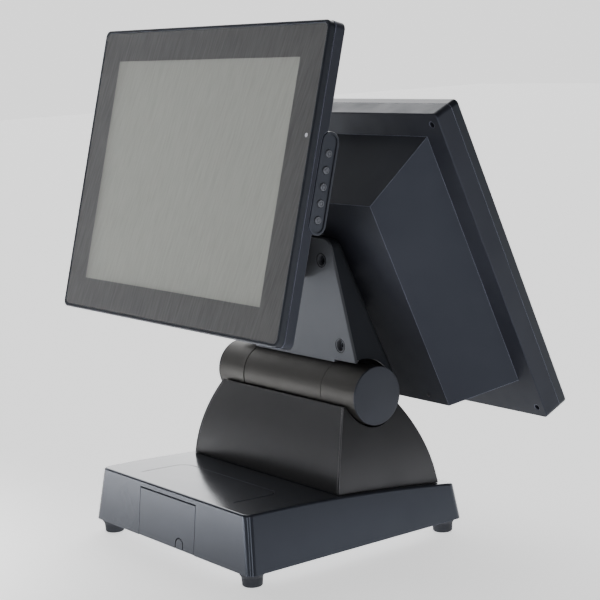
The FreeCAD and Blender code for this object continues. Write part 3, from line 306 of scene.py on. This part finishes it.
def moulded(name, colour, roughness, grain=0.45, depth=0.02, wear_and_highlight=0.5, edge=0.5, tint=0.12,
            specular=0.5, cast=(0.72, 0.81, 1.0), drift=0.05, wear_and_highlight_gain=2.4):
    """Moulded plastic or sprayed metal: spark-eroded grain, slight colour drift, outer edges paler partly from
    rubbing and partly as a painted highlight, and painted shade in grooves.

    grain, depth and edge are in millimetres: the grain's size and depth, and the radius of the edges.
    wear is how much of an edge goes paler, and rub is how many times paler it goes there: partly rubbing,
    partly a painted highlight.
    """
    graph = Graph(name)
    cloud = graph.spread(graph.noise(TINT_CLOUDS, 3.0), 0.0, 1.0)
    base = graph.mix(cloud, shade(colour, 1.0 - tint), shade(colour, 1.0 + tint))
    rounded = graph.soft_edges(edge * MM)
    patchy = graph.spread(graph.noise(RUBBED_AND_HIGHLIT_PATCHES, 4.0), 0.6 * wear_and_highlight, wear_and_highlight)
    # Outer edges go paler: partly from rubbing, partly as a painted highlight.
    rubbed_and_highlit = graph.maths("MULTIPLY", graph.edge_wear_and_highlight(rounded), patchy)
    fine = graph.noise(1.0 / (grain * MM), 2.0, 0.6)
    cloudy = graph.spread(graph.noise(GLOSS_CLOUDS, 3.0), roughness - drift, roughness + drift)
    grainy = graph.spread(fine, -0.5 * drift, 0.5 * drift)
    graph.surface({"Base Color": graph.mix(rubbed_and_highlit, base, shade(colour, wear_and_highlight_gain)),
                   "Roughness": graph.maths("ADD", cloudy, grainy),
                   "Normal": graph.bump(fine, depth * MM, rounded),
                   "Specular IOR Level": specular,
                   # The specular tint from cast colours the reflections as painted light colour: bluish light
                   # on most parts, warm light on the barrel paint.
                   "Specular Tint": shade(cast)})
    # Painted shade: grooves, holes and inner corners go a matt near-black.
    graph.paint_shade(graph.crevice_shade())
    return graph


def base_shell():
    """Base and door plastic, with painted shade: the walls of the gap round the door go nearly black."""
    graph = moulded("base_plastic", (0.026, 0.028, 0.036), 0.16, 0.5, 0.002, wear_and_highlight=0.8, drift=0.02, wear_and_highlight_gain=7.0)
    x, y, z = graph.split(graph.place)
    face = graph.maths("MULTIPLY_ADD", z, BASE_FACE_SLOPE, BASE_FACE_Y)
    behind = graph.maths("GREATER_THAN", y, graph.maths("ADD", face, BASE_FACE_SKIN))
    off_middle = graph.maths("ABSOLUTE", graph.maths("SUBTRACT", x, DOOR_MIDDLE))
    beside = graph.maths("LESS_THAN", off_middle, DOOR_HALF)
    near = graph.maths("LESS_THAN", y, DOOR_INNER_Y)
    under = graph.maths("MULTIPLY", graph.maths("LESS_THAN", z, DOOR_HEAD), near)
    # Painted shade: the walls of the gap behind the front face, beside and under the door, go a matt
    # near-black.
    graph.paint_shade(graph.maths("MULTIPLY", graph.maths("MULTIPLY", behind, beside), under))
    return graph


def metal(name, colour, roughness, stretch=(1.0, 1.0, 1.0)):
    """Bare metal with fine scratches drawn along the axis that stretch leaves small."""
    graph = Graph(name)
    drawn = graph.add("ShaderNodeMapping")
    graph.join(graph.place, drawn.inputs["Vector"])
    drawn.inputs["Scale"].default_value = stretch
    lines = graph.noise(SCRATCHES, 3.0, 0.6, drawn.outputs["Vector"])
    stain = graph.spread(graph.noise(STAINS, 4.0), 0.0, 1.0)
    graph.surface({"Base Color": graph.mix(stain, shade(colour, 0.85), shade(colour, 1.08)),
                   "Roughness": graph.spread(lines, roughness - 0.08, roughness + 0.1),
                   "Normal": graph.bump(lines, SCRATCH_DEPTH, graph.soft_edges(METAL_EDGE)),
                   "Metallic": 1.0})
    return graph


def inside_opening(graph, local, up, margin=(0.0, 0.0)):
    """1 inside the viewing opening of a display, drawn in by margin, and 0 outside it; and the depth."""
    x, depth, z = graph.split(local)
    across = graph.maths("ABSOLUTE", x)
    height = graph.maths("ABSOLUTE", graph.maths("SUBTRACT", z, up))
    within = graph.maths("LESS_THAN", across, VIEW_W / 2 - margin[0])
    level = graph.maths("LESS_THAN", height, VIEW_H / 2 - margin[1])
    return graph.maths("MULTIPLY", within, level), depth


def streaks(graph, local, fine):
    """Fine streaks of a brushed anti-glare surface, leaning a little from upright."""
    along = graph.add("ShaderNodeMapping", vector_type="TEXTURE")
    graph.join(local, along.inputs["Vector"])
    along.inputs["Rotation"].default_value = (0, STREAK_LEAN, 0)
    along.inputs["Scale"].default_value = (1, 1, STREAK_LENGTH)
    return graph.noise(fine, 3.0, 0.6, along.outputs["Vector"])


def touch_glass():
    """Border printed behind the glass, with a clear anti-glare window."""
    graph = Graph("touch_glass")
    local = graph.display_axes(FRONT_DISPLAY)
    window, depth = inside_opening(graph, local, FRONT_DISPLAY["opening_up"])
    drawn = streaks(graph, local, GLASS_STREAKS)
    line = graph.spread(drawn, 0.0, 1.0)
    border = graph.mix(line, shade(BORDER_DARK), shade(BORDER_PALE))
    film = graph.mix(line, shade(FILM_DARK), shade(FILM_PALE))
    clear = graph.maths("MAXIMUM", window, graph.maths("GREATER_THAN", depth, GLASS_BACK))
    see_through = graph.spread(drawn, *SEE_THROUGH)
    graph.surface({"Base Color": graph.mix(window, border, film),
                   "Roughness": graph.spread(drawn, 0.33, 0.35),
                   "Normal": graph.bump(drawn, STREAK_DEPTH, graph.soft_edges(GLASS_EDGE)),
                   "Alpha": graph.maths("SUBTRACT", 1.0, graph.maths("MULTIPLY", clear, see_through))})
    return graph


def lcd(name, display, fine, dark, pale):
    """Switched-off screen: grey viewing surface at the bottom of a pale metal tray."""
    graph = Graph(name)
    local = graph.display_axes(display)
    window, depth = inside_opening(graph, local, display["opening_up"], SCREEN_MARGIN)
    floor = graph.maths("MULTIPLY", window, graph.maths("GREATER_THAN", depth, SCREEN_DEPTH))
    drawn = streaks(graph, local, fine)
    panel = graph.mix(graph.spread(drawn, 0.0, 1.0), shade(dark), shade(pale))
    graph.surface({"Base Color": graph.mix(floor, shade(TRAY), panel),
                   "Roughness": graph.spread(drawn, 0.36, 0.46)})
    return graph


def clear_glass():
    """Customer glass, clear enough to leave little noise in the screen behind it."""
    graph = Graph("clear_glass")
    smear = graph.noise(SMEARS, 4.0)
    graph.surface({"Base Color": graph.mix(smear, shade(CUSTOMER_GLASS_DARK), shade(CUSTOMER_GLASS_PALE)),
                   "Roughness": graph.spread(smear, 0.06, 0.14),
                   "Alpha": CUSTOMER_GLASS_ALPHA})
    return graph


def circuit_board():
    """Green board with darker ground between its tracks."""
    graph = Graph("circuit_board")
    tracks = graph.noise(TRACKS, 1.0)
    copper = graph.spread(tracks, 0.0, 1.0, *TRACK_RANGE)
    graph.surface({"Base Color": graph.mix(copper, shade(BOARD_GROUND), shade(BOARD_TRACK)),
                   "Roughness": graph.spread(tracks, 0.25, 0.4)})
    return graph


def make_plastics():
    """Plastics, paints and rubber: colour, roughness, grain and its depth, then what sets each apart."""
    # The paler edges set by wear and rub are partly rubbing and partly a painted highlight.
    return [
        moulded("pedestal_plastic", (0.031, 0.031, 0.033), 0.44, 0.5, 0.03,
                wear_and_highlight=1.0, edge=0.8, wear_and_highlight_gain=7.0, cast=(0.92, 0.93, 1.0)),
        moulded("cover_plastic", (0.019, 0.020, 0.027), 0.48, 0.55, 0.035,
                wear_and_highlight=1.0, edge=0.9, wear_and_highlight_gain=14.0, specular=0.34),
        moulded("neck_plastic", (0.018, 0.019, 0.022), 0.44, 0.5, 0.03, specular=0.35),
        moulded("strip_plastic", (0.016, 0.017, 0.022), 0.34, 0.45, 0.02, wear_and_highlight=0.3, edge=0.3),
        moulded("button_plastic", (0.095, 0.098, 0.110), 0.30, 0.35, 0.01, wear_and_highlight=0.9),
        moulded("cap_plastic", (0.027, 0.028, 0.034), 0.46, 0.5, 0.03, specular=0.35),
        moulded("bezel_plastic", (0.013, 0.0145, 0.019), 0.30, 0.6, 0.008, wear_and_highlight=0.9, edge=0.9, wear_and_highlight_gain=9.0,
                tint=0.04, specular=0.30, cast=(0.80, 0.87, 1.0), drift=0.01),
        moulded("inner_plastic", (0.020, 0.020, 0.020), 0.55, 0.6, 0.03),
        moulded("barrel_paint", (0.030, 0.029, 0.028), 0.48, 0.8, 0.03,
                specular=0.42, cast=(1.0, 0.97, 0.93)),
        moulded("neck_paint", (0.074, 0.077, 0.086), 0.50, 0.7, 0.025, specular=0.20),
        moulded("dark_screw", (0.006, 0.006, 0.007), 0.45, 0.4, 0.01, wear_and_highlight=0.2),
        moulded("rubber", (0.030, 0.030, 0.033), 0.72, 0.6, 0.05, wear_and_highlight=0.25),
        moulded("light_lens", (0.72, 0.74, 0.78), 0.30, 0.3, 0.01),
    ]


def make_metals():
    return [
        metal("black_steel", (0.10, 0.10, 0.105), 0.40),
        metal("zinc_steel", (0.55, 0.56, 0.58), 0.32, (1.0, 0.06, 1.0)),
        metal("bright_steel", (0.62, 0.62, 0.63), 0.22, (0.06, 1.0, 1.0)),
        metal("socket_metal", (0.55, 0.55, 0.57), 0.28, (1.0, 0.1, 1.0)),
        metal("cast_aluminium", (0.60, 0.61, 0.62), 0.45),
        metal("bush_bronze", (0.62, 0.47, 0.28), 0.35),
    ]


def make_screens():
    return [
        touch_glass(),
        clear_glass(),
        lcd("front_screen", FRONT_DISPLAY, FRONT_SCREEN_STREAKS, (0.46, 0.48, 0.43), (0.51, 0.53, 0.48)),
        lcd("rear_screen", REAR_DISPLAY, REAR_SCREEN_STREAKS, (0.38, 0.40, 0.37), (0.41, 0.43, 0.40)),
    ]


def dress(graphs):
    """Gives every CAD node the material of its slot, or its own where it has one."""
    materials = {graph.name: graph.material for graph in graphs}
    special = {"front_lcd_panel": "front_screen", "rear_lcd_panel": "rear_screen", "neck_screws": "dark_screw"}
    for part in frame["record"]["subparts"]:
        mesh = frame["nodes"][part["node"]].data
        mesh.materials.clear()
        mesh.materials.append(materials[special.get(part["node"], part["material_slot"])])


make_camera()
make_floor()
make_world()
make_light("key_light", (-0.60, -1.00, 2.2), (-0.60, -1.00, 0.0), (0.9, 0.9), 28, spread=26)
make_light("side_light", (1.9, -0.85, 0.25), (0.05, 0, 0.25), (0.2, 0.9), 4.0)
make_light("edge_light", (1.5, -2.1, 0.55), (0, 0, 0.25), (0.14, 0.9), 4.5)
dress([base_shell(), *make_plastics(), *make_metals(), *make_screens(), circuit_board()])
